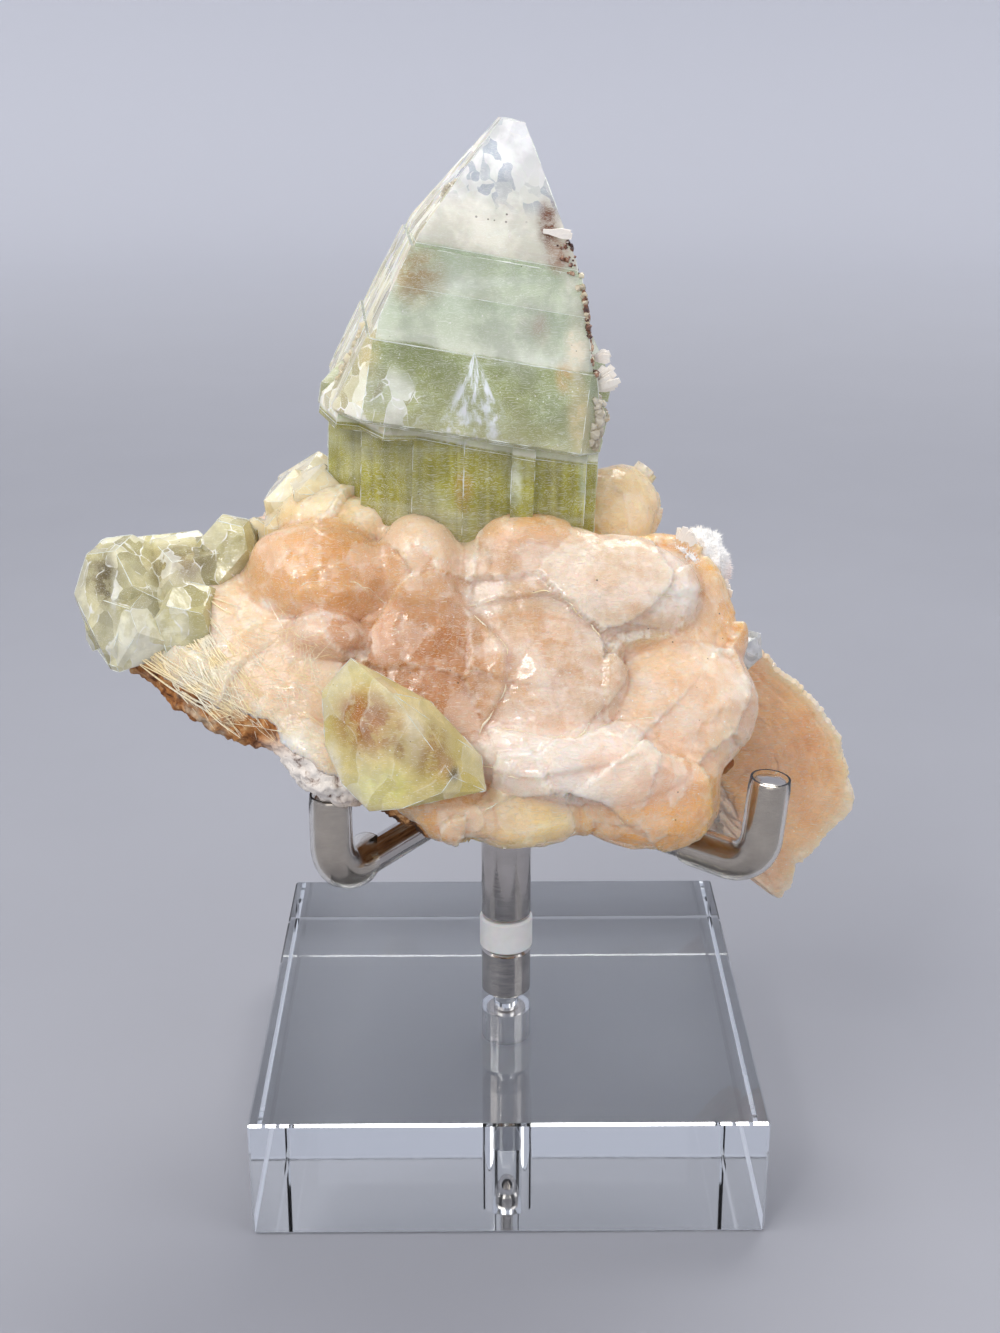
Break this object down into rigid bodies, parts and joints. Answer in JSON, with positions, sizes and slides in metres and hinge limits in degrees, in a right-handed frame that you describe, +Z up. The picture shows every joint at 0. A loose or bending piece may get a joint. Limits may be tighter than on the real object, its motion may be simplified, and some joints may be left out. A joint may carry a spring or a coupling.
{
  "type": "apophyllite cluster",
  "caption": "Steep green-white apophyllite crystal on a mass of peach stilbite lobes, carried by a clear acrylic display stand with a steel post and bent arms.",
  "frame": {"origin": "under the middle of the object's box, on the surface that the base stands on", "axes": "+Z up, -Y to the front that the picture shows, +X to the viewer's right"},
  "size_m": [0.1162, 0.0798, 0.1569],
  "materials": {
    "acrylic": "polished, clear",
    "steel": "polished",
    "nylon": "matte",
    "vinyl": "glossy, clear",
    "stilbite": "pearly, slightly see-through",
    "apophyllite_green": "glassy, see-through with veils",
    "apophyllite_yellow": "glassy, see-through",
    "apophyllite_cream": "glassy, cloudy",
    "mordenite": "fuzzy, dull",
    "matrix": "rough, dull"
  },
  "bodies": {
    "root": {"acrylic_base": "acrylic", "base_screw": "steel", "lower_post": "steel", "post_ring": "nylon", "upper_post": "steel", "arm_hub": "steel", "arm_left": "steel", "arm_right": "steel", "arm_back": "steel", "sleeve_left": "vinyl", "sleeve_right": "vinyl", "sleeve_back": "vinyl", "stilbite_mass": "stilbite", "stilbite_fan": "stilbite", "apophyllite_main": "apophyllite_green", "apophyllite_left": "apophyllite_green", "apophyllite_chip": "apophyllite_green", "apophyllite_front": "apophyllite_yellow", "apophyllite_shoulder": "apophyllite_cream", "white_tuft": "mordenite", "matrix": "matrix"}
  },
  "joints": []
}
